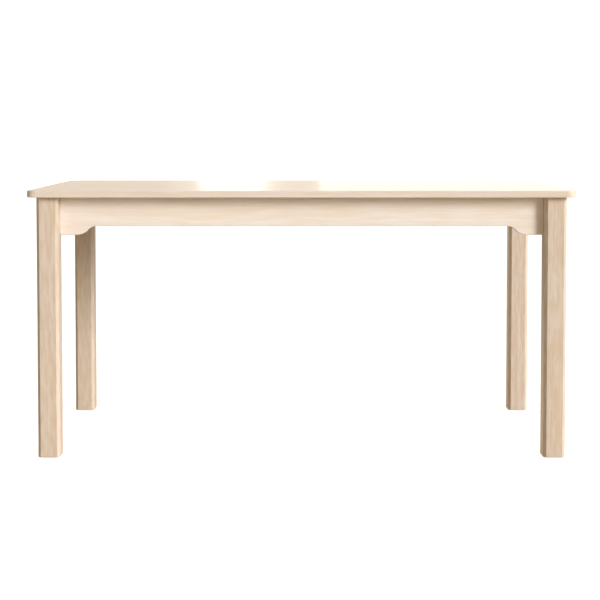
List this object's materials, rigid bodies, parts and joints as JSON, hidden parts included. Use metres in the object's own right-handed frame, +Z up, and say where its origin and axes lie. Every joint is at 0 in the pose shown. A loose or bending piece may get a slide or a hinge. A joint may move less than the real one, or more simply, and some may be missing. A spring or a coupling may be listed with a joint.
{
  "type": "communion table",
  "caption": "Rectangular wooden table with a plain rounded-corner top, square chamfered bolt-on legs and bracketed aprons, for standing or seated services.",
  "frame": {"origin": "on the floor under the middle of the top", "axes": "+X along the length, the front faces -Y, +Z up"},
  "size_m": [1.524, 0.762, 0.75],
  "materials": {
    "wood_top": "satin lacquer over pale whitewashed wood",
    "wood_legs": "satin lacquer over pale whitewashed wood",
    "wood_aprons": "satin lacquer over pale whitewashed wood",
    "wood_hidden": "bare planed hardwood",
    "steel": "zinc plated",
    "nylon": "natural nylon"
  },
  "bodies": {
    "root": {"table_top": "wood_top", "leg_front_left": "wood_legs", "leg_front_right": "wood_legs", "leg_back_right": "wood_legs", "leg_back_left": "wood_legs", "apron_front": "wood_aprons", "apron_right": "wood_aprons", "apron_back": "wood_aprons", "apron_left": "wood_aprons", "centre_rail": "wood_hidden", "corner_block_front_left": "wood_hidden", "corner_block_front_right": "wood_hidden", "corner_block_back_right": "wood_hidden", "corner_block_back_left": "wood_hidden", "button_front_1": "wood_hidden", "button_front_2": "wood_hidden", "button_right_1": "wood_hidden", "button_right_2": "wood_hidden", "button_back_1": "wood_hidden", "button_back_2": "wood_hidden", "button_left_1": "wood_hidden", "button_left_2": "wood_hidden", "hanger_bolt_front_left": "steel", "hanger_bolt_front_right": "steel", "hanger_bolt_back_right": "steel", "hanger_bolt_back_left": "steel", "washer_front_left": "steel", "washer_front_right": "steel", "washer_back_right": "steel", "washer_back_left": "steel", "nut_front_left": "steel", "nut_front_right": "steel", "nut_back_right": "steel", "nut_back_left": "steel", "block_screw_front_left_left": "steel", "block_screw_front_left_front": "steel", "block_screw_front_right_front": "steel", "block_screw_front_right_right": "steel", "block_screw_back_right_right": "steel", "block_screw_back_right_back": "steel", "block_screw_back_left_back": "steel", "block_screw_back_left_left": "steel", "button_screw_front_1": "steel", "button_screw_front_2": "steel", "button_screw_right_1": "steel", "button_screw_right_2": "steel", "button_screw_back_1": "steel", "button_screw_back_2": "steel", "button_screw_left_1": "steel", "button_screw_left_2": "steel", "rail_screw_front": "steel", "rail_screw_back": "steel", "glide_front_left": "nylon", "glide_front_right": "nylon", "glide_back_right": "nylon", "glide_back_left": "nylon"}
  },
  "joints": []
}
